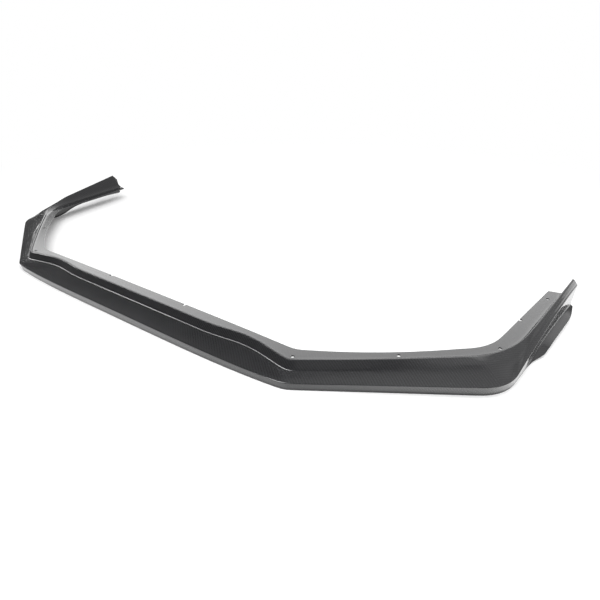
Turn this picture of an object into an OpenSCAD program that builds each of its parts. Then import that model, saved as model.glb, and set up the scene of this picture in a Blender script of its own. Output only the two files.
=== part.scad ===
// Front air dam of a car: one thin moulded shell, open underneath and behind.
// It runs across the nose, back along two angled quarters, round two rear corners
// and along two arms beside the wheel openings. Every section has the same folds:
// a flat screw flange, a raised ridge, a riser, a broad lip, a crease and a front face.
// The floor is z = 0, the front of the car faces -Y, and x = 0 is the plane of symmetry.

/* [Plan of the lip crease] */
// Half the distance between the two front bends
bend_x = 496; // [440:1:540]
// How far the middle of the nose stands in front of the front bends
nose_bow = 15; // [8:1:30]
// Half the distance between the two rear corners
corner_x = 851; // [800:1:900]
// How far the rear corners lie behind the front bends
corner_y = 211; // [180:1:250]
// Half the distance between the tails of the arms
tail_x = 878; // [860:1:920]
// How far the tails lie behind the front bends
tail_y = 627; // [560:1:700]
// Length of each run that a front bend takes up
bend_cut = 15; // [10:1:30]
// Length of each run that a rear corner takes up, at the lip crease
corner_cut = 50; // [35:1:60]

/* [Wall] */
// Thickness of the moulded sheet
wall = 3; // [2:0.1:3.5]

/* [Lip] */
// Depth of the lip from the crease to the riser, in the middle of the nose
lip_nose = 52; // [40:1:65]
// Depth of the lip at the front bends
lip_bend = 26.5; // [20:0.5:34]
// Depth of the lip where the angled quarter meets the rear corner
lip_corner = 53.5; // [42:0.5:60]
// Hollow of the lip surface
lip_sag = 1.5; // [0:0.1:3]
// Height of the crease in the middle of the nose
crease_nose_h = 22; // [18:0.5:26]
// Height of the crease at the front bends
crease_bend_h = 18; // [14:0.5:22]
// Height of the crease at the rear corners
crease_corner_h = 27.5; // [22:0.5:32]
// Height of the crease at the tails
crease_tail_h = 73; // [60:0.5:80]
// Rounding of the crease, measured along each face
crease_round = 2.5; // [1.5:0.1:3.5]
// How far the bottom of the front face tucks in under the crease, along the nose
tuck_nose = 3.5; // [0:0.5:5]
// How far it tucks in where the angled quarter meets the rear corner
tuck_corner = 14; // [6:0.5:16]
// How far it tucks in along the arms
tuck_arm = 4; // [2:0.5:8]

/* [Riser and ridge] */
// Depth of the riser in the middle of the nose
riser_nose = 9.5; // [8:0.5:14]
// Depth of the riser at the front bends
riser_bend = 9; // [7:0.5:12]
// Depth of the riser where the angled quarter meets the rear corner
riser_corner = 21.5; // [16:0.5:26]
// Height of the foot of the riser along the nose
foot_nose_h = 30.5; // [27:0.5:36]
// Height of the foot of the riser at the rear corners
foot_corner_h = 47.5; // [42:0.5:52]
// Width of the hollow at the foot of the riser, along the angled quarters
foot_w = 10; // [5:0.5:14]
// Width of the flat top of the ridge
ridge_w = 3.6; // [3.6:0.1:5]
// Height of the ridge above the flange, along the nose
ridge_nose_h = 2.5; // [1:0.1:5]
// Height of the ridge above the flange, where the angled quarters meet the rear corners
ridge_corner_h = 4; // [2:0.5:8]
// Height of the ridge above the flange, at the start of the arms
ridge_side_h = 23; // [14:0.5:28]
// Height of the ridge above the flange, at the tails
ridge_tail_h = 48.5; // [38:0.5:60]
// How far the ridge swings back between the middle and each front bend
ridge_sway = 13; // [0:0.5:18]
// Distance across the arm from the crease to the ridge, at the rear corners
ridge_side = 13.5; // [10:0.5:20]
// Distance across the arm from the crease to the ridge, at the tails
ridge_tail = 8; // [6:0.5:12]
// How far forward of the crease the ridge ends at the tails
ridge_tail_cut = 21.5; // [0:0.5:40]

/* [Screw flange] */
// Height of the top of the flange above the floor
flange_h = 45; // [43:0.5:50]
// Width of the flange in the middle of the nose
flange_nose = 26; // [22:0.5:34]
// Width of the flange at the front bends
flange_bend = 33; // [26:0.5:40]
// Width of the flange where the angled quarter meets the rear corner
flange_corner = 22.5; // [18:0.5:32]
// Width of the flange at the start of the arms
flange_side = 38; // [30:0.5:46]
// Width of the flange at the tails
flange_tail = 32; // [26:0.5:40]
// Diameter of the screw holes
hole_d = 8; // [5:0.5:10]
// Width of the notches in the inner edge
notch_w = 9; // [6:0.5:12]
// Depth of the notches in the inner edge
notch_depth = 7; // [4:0.5:10]
// Distance of the front notches from the plane of symmetry
notch_x = 142; // [90:1:200]

/* [Side foot] */
// Width of the foot that turns out from the bottom of each arm
foot_out = 17; // [8:0.5:22]
// How far the foot slopes down towards its outer edge
foot_drop = 5; // [2:0.5:8]
// How far the bottom of the arms rises above the floor
arm_rise = 17; // [8:0.5:24]
// Size of the fillet between the arm's face and the foot
bottom_fillet = 4; // [3:0.5:4.5]

/* [Hidden] */

// Overrun of cuts
over = 5;
// Gap between the ridge and the flange: along the nose, at the corners, at the tails
lean_nose = 2.4;
lean_corner = 5.5;
lean_side = 8;
lean_tail = 13;
// Length of each run that a rear corner takes up at the ridge
ridge_cut = 88;
// Share of the way from the crease's rounding to the ridge's that the riser's foot has
foot_cut_share = 0.5;
// Rounding runs of the inner edge of the flange at the rear corners and at the front bends
inner_cut = 55.5;
inner_bend_cut = 21;
// How far the ridge and the flange's inner edge belly forward along the quarters
ridge_belly = 2.5;
inner_belly = 10.5;
// How far forward of the crease the inner and outer edges of the flange end
flange_tail_cut = 10;
root_tail_cut = 4;
// How far the toe of the riser drops below its foot: along the nose and at the rear
// corners, as shares of foot_w
toe_drop_shares = [0.25, 0.5];
// Power of the nose's bow: it is flat in the middle and drops near the bends
bow_power = 4;
// Place and half length of the ridge's swing, as shares of bend_x
sway_place_share = 0.75;
sway_reach_share = 0.25;
// Ridge's fillet: share of its lean and of its height that the lower half takes
lean_fillet_shares = [0.45, 0.32];
// Places of the riser's foot on the arms, as shares of the way from the crease to the ridge
arm_foot_shares = [0.42, 0.55];
// Stretch of the arm over which the bottom rises
rise_shares = [0.12, 0.5];
// Stretches of the arm over which the side foot grows and shrinks, and what is left at the tail
foot_grow_shares = [0.2, 0.36];
foot_fall_shares = [0.84, 1];
foot_end_share = 0.3;
// Share of its two legs by which the crease is softened
crease_soft_share = 0.15;
// Middle of the fillet at the bottom of the face: share of its run out and of its height
fillet_shares = [0.3, 0.4];
// Rows of the lip between the crease and the riser
lip_row_shares = [0.33, 0.67];
// Number of steps in each run: nose, front bend, quarter, rear corner, arm
RUN_STEPS = [12, 3, 9, 9, 12];
// Places of the screw holes: run, share of the run, share of the flange's width from its root
HOLE_SHARES = [[1, 0.5, 0.24], [2, 0.6, 0.44], [3, 0.54, 0.26], [4, 0.82, 0.58]];
// Place of the notch on each arm, as a share of its length
notch_arm_share = 0.335;
// Share of a run over which its heading is measured
heading_share = 0.01;
// Share of the mitre that a sharp fold may take
mitre_limit_share = 0.35;

// The runs of the outline, in order from the middle of the nose to the tail
NOSE = 0;
BEND = 1;
QUARTER = 2;
CORNER = 3;
ARM = 4;

quarter_angle = atan2(corner_y, corner_x - bend_x);
// Front and back of the model, for centring it
y_front = -nose_bow;
y_back = tail_y;
y_mid = (y_front + y_back) / 2;

function lerp(a, b, t) = a + (b - a) * t;
function unit(v) = v / norm(v);
function clamp(t) = max(0, min(1, t));
function smooth(t) = let (c = clamp(t)) c * c * (3 - 2 * c);
function stretch(t, ends) = smooth((t - ends[0]) / (ends[1] - ends[0]));
function bump(t) = abs(t) < 1 ? (1 + cos(180 * t)) / 2 : 0;
function curve(a, b, c, t) = lerp(lerp(a, b, t), lerp(b, c, t), t);

// A rail is a line along the dam: its distances in from the lip crease, which are measured
// across the nose, across the front bend, across the quarter where it meets the rear corner,
// across the arm there, and across the tail, then how far it swings back, how long its
// rounded corner is, how far before the crease it ends, how far it bellies out
// along the quarter and how long its rounded front bend is
function gaps(nose, bend, quarter, side, tail) = [nose, bend, quarter, side, tail];
function rail(g, sway, cut, tail_cut, belly, bend = bend_cut) =
    [g, sway, cut, tail_cut, belly, bend];

// Corners of a rail's outline in plan
function bend_point(g) = [bend_x - g[1] * tan(quarter_angle / 2), g[1]];
function corner_point(g) =
    let (x = corner_x - g[3])
    [x, corner_y + g[2] / cos(quarter_angle) - g[3] * tan(quarter_angle)];
function tail_point(r) = [tail_x - r[0][4], tail_y - r[3]];

function nose_line(r, x) =
    let (end = bend_point(r[0]),
         t = x / end[0],
         start_y = r[0][0] - nose_bow,
         swing = r[1] * bump((t - sway_place_share) / sway_reach_share))
    [x, lerp(start_y, end[1], pow(t, bow_power)) + swing];

function plan_point(r, run, t) =
    let (b = bend_point(r[0]),
         c = corner_point(r[0]),
         d = tail_point(r),
         b_in = nose_line(r, b[0] - r[5]),
         b_out = b + unit(c - b) * r[5],
         c_in = c - unit(c - b) * r[2],
         c_out = c + unit(d - c) * r[2],
         across = [sin(quarter_angle), -cos(quarter_angle)])
    run == NOSE ? nose_line(r, (b[0] - r[5]) * t)
    : run == BEND ? curve(b_in, b, b_out, t)
    : run == QUARTER ? lerp(b_out, c_in, t) + across * r[4] * 4 * t * (1 - t)
    : run == CORNER ? curve(c_in, c, c_out, t)
    : lerp(c_out, d, t);

// Height along a rail from its height at the nose, the bend, the corner and the tail
function ease_in(t) = t * t;
function ease_out(t) = 1 - (1 - t) * (1 - t);
function heights(h, run, t) =
    run == NOSE ? lerp(h[0], h[1], ease_in(t))
    : run == BEND ? h[1]
    : run == QUARTER ? lerp(h[1], h[2], ease_in(t))
    : run == CORNER ? h[2]
    : h[2];

function crease_height(run, t) =
    run == ARM ? lerp(crease_corner_h, crease_tail_h, ease_out(t))
    : run == QUARTER ? lerp(crease_bend_h, crease_corner_h, t)
    : heights([crease_nose_h, crease_bend_h, crease_corner_h], run, t);
function ridge_height(run, t) =
    flange_h + (run == ARM ? lerp(ridge_side_h, ridge_tail_h, t)
    : run == CORNER ? lerp(ridge_corner_h, ridge_side_h, ease_in(t))
    : heights([ridge_nose_h, ridge_nose_h, ridge_corner_h], run, t));
function bottom_height(run, t) = run == ARM ? arm_rise * stretch(t, rise_shares) : 0;
function foot_share(run, t) =
    run == ARM ? stretch(t, foot_grow_shares)
        * lerp(1, foot_end_share, stretch(t, foot_fall_shares)) : 0;

// The rails that carry the section
crease_rail = rail(gaps(0, 0, 0, 0, 0), 0, corner_cut, 0, 0);
face_rail = rail(gaps(tuck_nose, tuck_nose, tuck_corner, tuck_arm, tuck_arm),
    0, corner_cut, 0, 0);
foot_gaps = gaps(lip_nose, lip_bend, lip_corner,
    ridge_side * arm_foot_shares[1], ridge_tail * arm_foot_shares[1]);
foot_rail = rail(foot_gaps, ridge_sway, lerp(corner_cut, ridge_cut, foot_cut_share),
    ridge_tail_cut * arm_foot_shares[1], ridge_belly);
toe_gaps = foot_gaps - gaps(foot_w / 2, foot_w / 2, foot_w,
    ridge_side * (arm_foot_shares[1] - arm_foot_shares[0]),
    ridge_tail * (arm_foot_shares[1] - arm_foot_shares[0]));
toe_rail = rail(toe_gaps, ridge_sway, corner_cut, ridge_tail_cut * arm_foot_shares[0],
    ridge_belly);
ridge_gaps = gaps(lip_nose + riser_nose, lip_bend + riser_bend, lip_corner + riser_corner,
    ridge_side, ridge_tail);
ridge_rail = rail(ridge_gaps, ridge_sway, ridge_cut, ridge_tail_cut, ridge_belly);
back_gaps = ridge_gaps + gaps(ridge_w, ridge_w, ridge_w, ridge_w, ridge_w);
back_rail = rail(back_gaps, ridge_sway, ridge_cut, ridge_tail_cut, ridge_belly);
lean = gaps(lean_nose, lean_nose, lean_corner, lean_side, lean_tail);
root_gaps = back_gaps + lean;
root_rail = rail(root_gaps, ridge_sway, ridge_cut, root_tail_cut, ridge_belly);
inner_gaps = root_gaps + gaps(flange_nose, flange_bend, flange_corner, flange_side, flange_tail);
inner_rail = rail(inner_gaps, 0, inner_cut, flange_tail_cut, inner_belly, inner_bend_cut);

function with_z(p, z) = [p[0], p[1], z];

// Height of the foot of the riser; on the arms it lies between the crease and the ridge
function on_slope(run, t, share) = lerp(crease_height(run, t), ridge_height(run, t), share);
function foot_height(run, t, share) =
    let (arm_start = on_slope(CORNER, 1, share),
         corner_h = lerp(foot_corner_h, arm_start, smooth(run == CORNER ? t : 0)))
    run == ARM ? on_slope(run, t, share)
    : run == CORNER ? corner_h
    : run == QUARTER ? lerp(foot_nose_h, foot_corner_h, ease_in(t))
    : foot_nose_h;
function toe_height(run, t) =
    foot_height(run, t, arm_foot_shares[0])
    - foot_w * (run == ARM ? 0
    : run == CORNER ? lerp(toe_drop_shares[1], 0, smooth(t))
    : run == QUARTER ? lerp(toe_drop_shares[0], toe_drop_shares[1], t)
    : toe_drop_shares[0]);

// Outward direction in plan at a place along the dam
function outward(run, t) =
    let (a = plan_point(crease_rail, run, max(0, t - heading_share)),
         b = plan_point(crease_rail, run, min(1, t + heading_share)),
         d = unit(b - a))
    [d[1], -d[0]];

// Points of the outer skin at one place, from the flange's inner edge to the bottom edge
function skin(run, t) =
    let (out = outward(run, t),
         crease_z = crease_height(run, t),
         ridge_z = ridge_height(run, t),
         bottom_z = bottom_height(run, t),
         side = foot_share(run, t),
         crease_p = with_z(plan_point(crease_rail, run, t), crease_z),
         toe_p = with_z(plan_point(toe_rail, run, t), toe_height(run, t)),
         foot_p = with_z(plan_point(foot_rail, run, t), foot_height(run, t, arm_foot_shares[1])),
         ridge_p = with_z(plan_point(ridge_rail, run, t), ridge_z),
         back_p = with_z(plan_point(back_rail, run, t), ridge_z),
         root_p = with_z(plan_point(root_rail, run, t), flange_h),
         inner_p = with_z(plan_point(inner_rail, run, t), flange_h),
         face_plan = plan_point(face_rail, run, t),
         face_p = with_z(face_plan, bottom_z + bottom_fillet + foot_drop * side),
         low_z = bottom_z + lerp(bottom_fillet / 2, foot_drop, side),
         up = unit(toe_p - crease_p) * crease_round,
         down = unit(face_p - crease_p) * crease_round)
    [
        inner_p,
        root_p,
        [lerp(root_p[0], back_p[0], lean_fillet_shares[0]),
         lerp(root_p[1], back_p[1], lean_fillet_shares[0]),
         lerp(root_p[2], back_p[2], lean_fillet_shares[1])],
        back_p,
        ridge_p,
        foot_p,
        toe_p,
        for (s = [lip_row_shares[1], lip_row_shares[0]])
            lerp(crease_p, toe_p, s) - [0, 0, lip_sag * 4 * s * (1 - s)],
        crease_p + up,
        crease_p + (up + down) * crease_soft_share,
        crease_p + down,
        face_p,
        with_z(face_plan + out * bottom_fillet * side * fillet_shares[0],
            low_z + bottom_fillet * fillet_shares[1]),
        with_z(face_plan + out * bottom_fillet * side, low_z),
        with_z(face_plan + out * foot_out * side, bottom_z)
    ];

// Places along one half, and the skin there, mirrored for the other half
places = [
    for (run = [NOSE:ARM])
        for (i = [(run == NOSE ? 0 : 1):RUN_STEPS[run]])
            [run, i / RUN_STEPS[run]]
];
last_place = len(places) - 1;
half_skin = [for (p = places) skin(p[0], p[1])];
full_skin = [
    for (i = [-last_place:last_place])
        [for (p = half_skin[abs(i)]) [i < 0 ? -p[0] : p[0], p[1], p[2]]]
];
row_count = len(full_skin[0]);
ring_count = len(full_skin);

// The inner skin lies one wall thickness under the outer one
function row_dir(i, j) =
    unit(full_skin[min(i + 1, ring_count - 1)][j] - full_skin[max(i - 1, 0)][j]);
function fold_normal(i, j, k) =
    unit(cross(full_skin[i][k] - full_skin[i][j], row_dir(i, j)));
function inner_point(i, j) =
    let (before = max(j, 1),
         after = min(j, row_count - 2),
         a = fold_normal(i, before - 1, before),
         b = fold_normal(i, after, after + 1),
         p = full_skin[i][j] - (a + b) / max(1 + a * b, mitre_limit_share) * wall)
    [p[0], p[1], max(p[2], 0)];
inner_skin = [for (i = [0:ring_count - 1]) [for (j = [0:row_count - 1]) inner_point(i, j)]];

function outer_id(i, j) = i * row_count + j;
function inner_id(i, j) = ring_count * row_count + i * row_count + j;
function quad(a, b, c, d) = [[c, b, a], [d, c, a]];

module shell() {
    faces = [
        for (i = [0:ring_count - 2], j = [0:row_count - 2])
            for (f = quad(outer_id(i, j), outer_id(i, j + 1),
                    outer_id(i + 1, j + 1), outer_id(i + 1, j))) f,
        for (i = [0:ring_count - 2], j = [0:row_count - 2])
            for (f = quad(inner_id(i, j), inner_id(i + 1, j),
                    inner_id(i + 1, j + 1), inner_id(i, j + 1))) f,
        for (i = [0:ring_count - 2])
            for (f = quad(outer_id(i, 0), outer_id(i + 1, 0),
                    inner_id(i + 1, 0), inner_id(i, 0))) f,
        for (i = [0:ring_count - 2], j = [row_count - 1])
            for (f = quad(outer_id(i, j), inner_id(i, j),
                    inner_id(i + 1, j), outer_id(i + 1, j))) f,
        for (j = [0:row_count - 2])
            for (f = quad(outer_id(0, j), inner_id(0, j),
                    inner_id(0, j + 1), outer_id(0, j + 1))) f,
        for (i = [ring_count - 1], j = [0:row_count - 2])
            for (f = quad(outer_id(i, j), outer_id(i, j + 1),
                    inner_id(i, j + 1), inner_id(i, j))) f
    ];
    polyhedron(points = [for (s = [full_skin, inner_skin]) for (r = s) for (p = r) p],
        faces = faces);
}

// A place on the flange, from its root at share 0 to its inner edge at share 1
function flange_point(run, t, share) =
    lerp(plan_point(root_rail, run, t), plan_point(inner_rail, run, t), share);

module on_both_sides() {
    children();
    mirror([1, 0, 0]) children();
}

module drill(p, d) {
    translate([p[0], p[1], flange_h - wall - over])
        cylinder(h = wall + 2 * over, d = d, $fn = 48);
}

module screw_holes() {
    for (h = HOLE_SHARES)
        drill(flange_point(h[0], h[1], h[2]), hole_d);
}

module notch(run, t) {
    edge = flange_point(run, t, 1);
    root = flange_point(run, t, 0);
    drill(edge + unit(root - edge) * (notch_depth - notch_w / 2), notch_w);
}

module air_dam() {
    color([0.09, 0.09, 0.1])
        translate([0, -y_mid, 0])
            difference() {
                shell();
                on_both_sides() {
                    screw_holes();
                    notch(NOSE, notch_x / (bend_point(inner_gaps)[0] - inner_bend_cut));
                    notch(ARM, notch_arm_share);
                }
            }
}

air_dam();
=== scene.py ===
import math

import bmesh
import bpy
from mathutils import Matrix, Vector


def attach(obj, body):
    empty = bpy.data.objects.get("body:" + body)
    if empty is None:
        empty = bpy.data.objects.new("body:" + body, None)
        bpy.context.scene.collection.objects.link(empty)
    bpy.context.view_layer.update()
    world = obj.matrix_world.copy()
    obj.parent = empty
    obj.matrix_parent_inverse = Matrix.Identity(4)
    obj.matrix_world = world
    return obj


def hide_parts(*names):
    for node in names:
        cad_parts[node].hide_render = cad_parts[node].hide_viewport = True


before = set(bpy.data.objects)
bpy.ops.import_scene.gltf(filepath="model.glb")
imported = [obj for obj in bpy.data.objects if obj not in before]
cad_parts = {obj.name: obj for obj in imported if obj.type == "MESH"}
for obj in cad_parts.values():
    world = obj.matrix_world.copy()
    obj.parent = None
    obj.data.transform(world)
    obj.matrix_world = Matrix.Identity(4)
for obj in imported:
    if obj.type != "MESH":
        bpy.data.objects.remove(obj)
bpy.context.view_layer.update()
scene = bpy.context.scene

# The model stands centred on x, with the nose towards -Y and the open side towards +Y.
# Lengths are in metres.

AIR_DAM = "air_dam"

# The shell's faces and edges.
MERGE = 1e-6                    # points closer than this are one
LEAN = math.radians(40)         # triangles that lean less than this to each other are joined
SKEW = math.radians(60)         # how far from square the joined face may be
FOLD = math.radians(14)         # a fold in the moulding, which stays tight
TURN = math.radians(70)         # a turn as sharp as the edge of the lip
RIM = 0.0032                    # faces narrower than this are the edge of the sheet
LOW = 0.035                     # the lip lies below this height
LEVEL = 0.9995                  # how upright the normal of a flat, level face is
ROLL = 0.0013                   # how far a rolled edge reaches on each side
ROLL_FACES = 3                  # faces across a rolled edge
ROLL_CREASE = 0.9               # how tight each kind of edge stays where the surface is made finer
CUT_CREASE = 1.0
TURN_CREASE = 0.7
FOLD_CREASE = 0.45
FINER = 2                       # how often each face is divided

# The cloth and its clear coat. A pair is for a tow that lies across, and for one that lies along.
TOW = 0.002                     # width of one tow
TWILL = 4.0                     # the 2x2 twill repeats after four tows
OVER = 1.5                      # of which the first two lie on top
CORNER = (0.851, -0.095)        # where a quarter turns into an arm, seen from above
INTO_ARM = (0.52, 0.854)        # the direction from a quarter into an arm, seen from above
# painted sheen: tows lying one way are painted lighter than tows lying the other way, standing in for
# how each direction of fibre reflects light
TOW_SHEEN_TONE = (0.33, 0.57)
TOW_ROUGHNESS = (0.36, 0.48)
TOW_EDGE_SHADE = 0.4                     # how much painted shade darkens a tow towards its edges, where it curves away
HAIR_LONG = 0.8                 # the filaments' grain along their tow
HAIR_FINE = 18.0                # the filaments' grain across their tow
HAIR_TONE = 0.5                 # how far the filaments' tones lie apart
RESIN_GRAIN = 7.0
RESIN_TONE = 0.3                # how far the resin's tones lie apart
DARK = (0.003, 0.003, 0.0035, 1.0)
LIGHT = (0.028, 0.0285, 0.031, 1.0)
CLOTH_IOR = 1.2
COAT_ROUGHNESS = 0.03
COAT_IOR = 1.6

# The floor.
FLOOR_REACH = 40.0              # half its width
FLOOR_TONE = 0.95
FLOOR_LIFT = 0.12               # how much brighter the floor is seen than the lamps make it
PLAIN = (1.0, 1.9)              # it turns to plain white between these distances from the middle
DUSK = 0.06                     # the floor in front of the part, as gloss mirrors it
DUSK_STARTS = (0.04, 0.2)       # how far in front of the part that begins, and is in full
DUSK_SIDES = (0.1, -0.1)        # where along the arms it begins, and is in full
NOSE = 0.32                     # how far in front of the middle the nose ends
QUARTER = (0.51, 0.86, 0.53)    # the quarter's way outwards and forwards, and where it ends on it

# The room.
WHITE = (1.0, 1.0, 1.0, 1.0)
AMBIENT = 0.75                  # the world's light on the part
ROOM = 0.15                     # the dim room, as gloss mirrors it
HORIZON = 0.05                  # the slope of a direction is measured down to this height
# What else gloss mirrors. Each thing has its brightness and its limits: a measure of the
# direction, with the value where the thing is gone and the value where it is in full.
MIRRORED = (
    # the bright window behind the part
    (2.6, (("slope", 0.95, 1.08), ("z", 0.25, 0.37), ("x", 0.9, -0.7), ("z", 0.8, 0.5))),
    # the lighter ceiling over the part's right half
    (0.65, (("x", -0.65, -0.2), ("z", 0.4, 0.9), ("y", -0.4, 0.3))),
    # the lighter wall to the right of the part
    (0.4, (("x", 0.2, 0.7),)),
    # the long strip of light above the nose
    (15.0, (("slope", -0.5, -0.44), ("slope", -0.26, -0.32), ("x", 0.1, -0.4))),
)

# The camera.
LENS = 30.15                    # in millimetres, as the sensor is
SENSOR = 36.0
NEAREST = 0.01
FARTHEST = 100.0
STAND = (0.9886, -0.8926, 0.6143)
HEADING = math.radians(37.21)
DOWNWARD = math.radians(28.54)
TILT = math.radians(-1.51)


def width_beside(edge):
    """The width of the narrowest face beside an edge."""
    return min(face.calc_area() * (2.0 if len(face.verts) == 3 else 1.0) / edge.calc_length()
               for face in edge.link_faces)


def rolls(edge):
    """The front edge of the flange and the edge of the lip are rolled, not cut."""
    fold = edge.calc_face_angle_signed(0.0)
    if fold < FOLD or width_beside(edge) < RIM:
        return False
    low = max(vert.co.z for vert in edge.verts) < LOW
    return (fold > TURN and low) or any(face.normal.z > LEVEL for face in edge.link_faces)


def merged_copy(name, source):
    """A copy of a CAD node's mesh with its loose triangles joined up and its edges rolled."""
    mesh = source.data.copy()
    mesh.name = name
    mesh.materials.clear()
    part = bpy.data.objects.new(name, mesh)
    scene.collection.objects.link(part)
    form = bmesh.new()
    form.from_mesh(mesh)
    bmesh.ops.remove_doubles(form, verts=form.verts[:], dist=MERGE)
    bmesh.ops.dissolve_degenerate(form, dist=MERGE, edges=form.edges[:])
    bmesh.ops.join_triangles(form, faces=form.faces[:], angle_face_threshold=LEAN,
                             angle_shape_threshold=SKEW)
    rolled = [edge for edge in form.edges if rolls(edge)]
    rounded = bmesh.ops.bevel(form, geom=rolled, offset=ROLL, offset_type="OFFSET",
                              segments=ROLL_FACES, profile=0.5, affect="EDGES", clamp_overlap=False)
    band = set(rounded["faces"])
    crease = form.edges.layers.float.new("crease_edge")
    for face in form.faces:
        face.smooth = True
    for edge in form.edges:
        fold = edge.calc_face_angle(math.pi)
        if any(face in band for face in edge.link_faces):
            edge[crease] = ROLL_CREASE
        elif fold > TURN and width_beside(edge) < RIM:
            edge.smooth = False
            edge[crease] = CUT_CREASE
        elif fold > FOLD:
            edge[crease] = TURN_CREASE if fold > TURN else FOLD_CREASE
    form.to_mesh(mesh)
    form.free()
    finer = part.modifiers.new("finer", "SUBSURF")
    finer.levels = FINER
    finer.render_levels = FINER
    flats = part.modifiers.new("flats", "WEIGHTED_NORMAL")
    flats.mode = "FACE_AREA"
    flats.keep_sharp = True
    return part


def new_material(name):
    material = bpy.data.materials.new(name)
    material.use_nodes = True
    material.node_tree.nodes.clear()
    return material


class Sheet:
    """Short names for the nodes of one material or world."""

    def __init__(self, owner):
        self.tree = owner.node_tree

    def add(self, kind, **settings):
        node = self.tree.nodes.new(kind)
        for key, value in settings.items():
            setattr(node, key, value)
        return node

    def join(self, out, into):
        self.tree.links.new(out, into)

    def feed(self, value, into):
        """A number or colour is written into the socket, and another node's output is joined to it."""
        if isinstance(value, (int, float, tuple)):
            into.default_value = value
        else:
            self.join(value, into)

    def math(self, operation, *values):
        node = self.add("ShaderNodeMath", operation=operation)
        for slot, value in enumerate(values):
            self.feed(value, node.inputs[slot])
        return node.outputs[0]

    def mix(self, share, first, second, kind="FLOAT"):
        node = self.add("ShaderNodeMix", data_type=kind)
        start = {"FLOAT": 2, "RGBA": 6}[kind]
        for slot, value in ((0, share), (start, first), (start + 1, second)):
            self.feed(value, node.inputs[slot])
        return node.outputs[{"FLOAT": 0, "RGBA": 2}[kind]]

    def fade(self, value, start, end):
        """Nothing at the start, rising smoothly to one at the end."""
        node = self.add("ShaderNodeMapRange", interpolation_type="SMOOTHSTEP")
        self.join(value, node.inputs[0])
        node.inputs[1].default_value = start
        node.inputs[2].default_value = end
        return node.outputs[0]

    def swing(self, noise, reach):
        """A noise of nothing to one, turned into half the reach down to half the reach up."""
        return self.math("MULTIPLY_ADD", noise, reach, -reach / 2)

    def axes(self, place):
        """The x, y and z of a place or direction."""
        node = self.add("ShaderNodeSeparateXYZ")
        self.join(place, node.inputs[0])
        return node.outputs


def carbon_laminate():
    """2x2 twill cloth of black tows under a clear coat."""
    material = new_material("carbon_laminate")
    sheet = Sheet(material)
    place = sheet.add("ShaderNodeTexCoord")
    x, y, z = sheet.axes(place.outputs["Object"])
    out = sheet.math("ABSOLUTE", x)
    # One cloth is draped over the nose and quarters, and another down each arm.
    out_past = sheet.math("MULTIPLY", sheet.math("SUBTRACT", out, CORNER[0]), INTO_ARM[0])
    back_past = sheet.math("MULTIPLY", sheet.math("SUBTRACT", y, CORNER[1]), INTO_ARM[1])
    arm = sheet.math("GREATER_THAN", sheet.math("ADD", out_past, back_past), 0.0)
    warp = sheet.math("DIVIDE", sheet.mix(arm, x, y), TOW)
    climb = sheet.mix(arm, sheet.math("ADD", y, z), sheet.math("SUBTRACT", z, out))
    weft = sheet.math("DIVIDE", climb, TOW)
    step = sheet.math("ADD", sheet.math("FLOOR", warp), sheet.math("FLOOR", weft))
    over = sheet.math("LESS_THAN", sheet.math("FLOORED_MODULO", step, TWILL), OVER)
    warp_place = sheet.math("SUBTRACT", sheet.math("FRACT", warp), 0.5)
    weft_place = sheet.math("SUBTRACT", sheet.math("FRACT", weft), 0.5)
    tow_place = sheet.mix(over, warp_place, weft_place)
    edge = sheet.math("MULTIPLY", sheet.math("MULTIPLY", tow_place, tow_place), 4.0)
    crown = sheet.math("SUBTRACT", 1.0, edge)
    # The filaments run along their tow.
    fine = sheet.add("ShaderNodeCombineXYZ")
    sheet.join(sheet.math("MULTIPLY", warp, sheet.mix(over, HAIR_FINE, HAIR_LONG)), fine.inputs[0])
    sheet.join(sheet.math("MULTIPLY", weft, sheet.mix(over, HAIR_LONG, HAIR_FINE)), fine.inputs[1])
    hairs = sheet.add("ShaderNodeTexNoise")
    hairs.inputs["Scale"].default_value = 1.0
    hairs.inputs["Detail"].default_value = 1.0
    sheet.join(fine.outputs[0], hairs.inputs["Vector"])
    resin = sheet.add("ShaderNodeTexNoise")
    resin.inputs["Scale"].default_value = RESIN_GRAIN
    resin.inputs["Detail"].default_value = 3.0
    sheet.join(place.outputs["Object"], resin.inputs["Vector"])
    # Painted sheen: the tows that lie one way get a lighter tone than the tows that lie the other way.
    tone = sheet.mix(over, *TOW_SHEEN_TONE)
    # Painted shade: each tow is darkened towards its edges.
    tone = sheet.math("MULTIPLY", tone, sheet.math("MULTIPLY_ADD", crown, TOW_EDGE_SHADE, 1.0 - TOW_EDGE_SHADE))
    tone = sheet.math("ADD", tone, sheet.swing(hairs.outputs[0], HAIR_TONE))
    tone = sheet.math("ADD", tone, sheet.swing(resin.outputs[0], RESIN_TONE))
    shader = sheet.add("ShaderNodeBsdfPrincipled")
    sheet.join(sheet.mix(tone, DARK, LIGHT, "RGBA"), shader.inputs["Base Color"])
    sheet.join(sheet.mix(over, *TOW_ROUGHNESS), shader.inputs["Roughness"])
    shader.inputs["IOR"].default_value = CLOTH_IOR
    shader.inputs["Coat Weight"].default_value = 1.0
    shader.inputs["Coat Roughness"].default_value = COAT_ROUGHNESS
    shader.inputs["Coat IOR"].default_value = COAT_IOR
    end = sheet.add("ShaderNodeOutputMaterial")
    sheet.join(shader.outputs[0], end.inputs[0])
    return material


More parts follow.
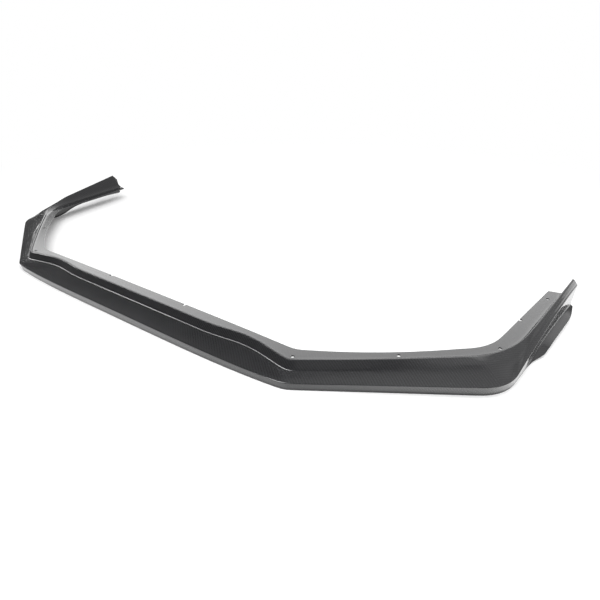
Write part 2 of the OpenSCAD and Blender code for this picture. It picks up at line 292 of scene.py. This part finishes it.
def studio_floor():
    """Matt white, which keeps the part's shadow and fades to plain white round it."""
    material = new_material("studio_floor")
    sheet = Sheet(material)
    place = sheet.add("ShaderNodeTexCoord")
    x, y, _ = sheet.axes(place.outputs["Object"])
    middle = sheet.add("ShaderNodeVectorMath", operation="LENGTH")
    sheet.join(place.outputs["Object"], middle.inputs[0])
    far = sheet.fade(middle.outputs["Value"], *PLAIN)
    matt = sheet.add("ShaderNodeBsdfDiffuse")
    matt.inputs[0].default_value = (FLOOR_TONE, FLOOR_TONE, FLOOR_TONE, 1.0)
    lift = sheet.add("ShaderNodeEmission")
    white = sheet.add("ShaderNodeEmission")
    dusk = sheet.add("ShaderNodeEmission")
    for glow in (lift, white, dusk):
        glow.inputs[0].default_value = WHITE
    dusk.inputs[1].default_value = DUSK
    rays = sheet.add("ShaderNodeLightPath")
    mirrored = rays.outputs["Is Glossy Ray"]
    seen = sheet.math("MAXIMUM", rays.outputs["Is Camera Ray"], mirrored)
    seen = sheet.math("MAXIMUM", seen, rays.outputs["Is Transmission Ray"])
    sheet.join(sheet.math("MULTIPLY", seen, FLOOR_LIFT), lift.inputs[1])
    near = sheet.add("ShaderNodeAddShader")
    sheet.join(matt.outputs[0], near.inputs[0])
    sheet.join(lift.outputs[0], near.inputs[1])
    both = sheet.add("ShaderNodeMixShader")
    sheet.join(sheet.math("MULTIPLY", seen, far), both.inputs[0])
    sheet.join(near.outputs[0], both.inputs[1])
    sheet.join(white.outputs[0], both.inputs[2])
    # Gloss mirrors the floor as white under the part, and as dim in front of it.
    past_nose = sheet.math("MULTIPLY_ADD", y, -1.0, -NOSE)
    past_quarter = sheet.math("ADD", sheet.math("MULTIPLY", sheet.math("ABSOLUTE", x), QUARTER[0]),
                              sheet.math("MULTIPLY_ADD", y, -QUARTER[1], -QUARTER[2]))
    past = sheet.math("MAXIMUM", past_nose, past_quarter)
    dim = sheet.math("MULTIPLY", sheet.fade(past, *DUSK_STARTS), mirrored)
    dim = sheet.math("MULTIPLY", dim, sheet.fade(y, *DUSK_SIDES))
    floor = sheet.add("ShaderNodeMixShader")
    sheet.join(dim, floor.inputs[0])
    sheet.join(both.outputs[0], floor.inputs[1])
    sheet.join(dusk.outputs[0], floor.inputs[2])
    end = sheet.add("ShaderNodeOutputMaterial")
    sheet.join(floor.outputs[0], end.inputs[0])
    return material


def lay_floor():
    mesh = bpy.data.meshes.new("floor")
    floor = bpy.data.objects.new("floor", mesh)
    scene.collection.objects.link(floor)
    form = bmesh.new()
    bmesh.ops.create_grid(form, x_segments=1, y_segments=1, size=FLOOR_REACH)
    form.to_mesh(mesh)
    form.free()
    mesh.materials.append(studio_floor())


def share_within(sheet, measures, limits):
    """One inside all the limits, and nothing past any of them."""
    shares = [sheet.fade(measures[name], gone, full) for name, gone, full in limits]
    share = shares[0]
    for other in shares[1:]:
        share = sheet.math("MULTIPLY", share, other)
    return share


def light_the_room():
    """A white room, which gloss mirrors as a dim one with the brighter things listed above."""
    world = bpy.data.worlds.new("studio")
    scene.world = world
    world.use_nodes = True
    world.node_tree.nodes.clear()
    sheet = Sheet(world)
    rays = sheet.add("ShaderNodeLightPath")
    place = sheet.add("ShaderNodeTexCoord")
    x, y, z = sheet.axes(place.outputs["Generated"])
    slope = sheet.math("DIVIDE", y, sheet.math("MAXIMUM", z, HORIZON))
    measures = {"x": x, "y": y, "z": z, "slope": slope}
    mirrored = ROOM
    for brightness, limits in MIRRORED:
        share = share_within(sheet, measures, limits)
        mirrored = sheet.math("MULTIPLY_ADD", share, brightness, mirrored)
    glossy = sheet.mix(rays.outputs["Is Glossy Ray"], AMBIENT, mirrored)
    seen = sheet.math("MAXIMUM", rays.outputs["Is Camera Ray"], rays.outputs["Is Transmission Ray"])
    back = sheet.add("ShaderNodeBackground")
    back.inputs[0].default_value = WHITE
    sheet.join(sheet.mix(seen, glossy, 1.0), back.inputs[1])
    end = sheet.add("ShaderNodeOutputWorld")
    sheet.join(back.outputs[0], end.inputs[0])


def hang_lamp(name, place, aim, width, height, power):
    """A flat lamp that gloss doesn't mirror."""
    lamp = bpy.data.lights.new(name, "AREA")
    lamp.shape = "RECTANGLE"
    lamp.size = width
    lamp.size_y = height
    lamp.energy = power
    holder = bpy.data.objects.new(name, lamp)
    scene.collection.objects.link(holder)
    holder.location = place
    holder.visible_glossy = False
    direction = Vector(aim) - Vector(place)
    holder.rotation_euler = direction.to_track_quat("-Z", "Y").to_euler()


def place_camera():
    lens = bpy.data.cameras.new("camera")
    lens.lens = LENS
    lens.sensor_width = SENSOR
    lens.clip_start = NEAREST
    lens.clip_end = FARTHEST
    camera = bpy.data.objects.new("camera", lens)
    scene.collection.objects.link(camera)
    camera.location = STAND
    heading = Matrix.Rotation(HEADING, 3, "Z")
    pitch = Matrix.Rotation(math.pi / 2 - DOWNWARD, 3, "X")
    tilt = Matrix.Rotation(TILT, 3, "Z")
    camera.rotation_euler = (heading @ pitch @ tilt).to_euler()
    scene.camera = camera


place_camera()

cad_part = bpy.data.objects[AIR_DAM]
dam = merged_copy("air_dam_shell", cad_part)
dam.data.materials.append(carbon_laminate())
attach(dam, "root")
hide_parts(AIR_DAM)

lay_floor()
light_the_room()
hang_lamp("key_lamp", place=(1.2, -1.0, 2.6), aim=(0.0, 0.0, 0.0), width=2.6, height=2.6, power=60.0)
hang_lamp("edge_lamp", place=(1.4, -1.8, 2.6), aim=(0.1, -0.1, 0.0), width=2.0, height=0.35, power=12.0)

scene.view_settings.view_transform = "Standard"
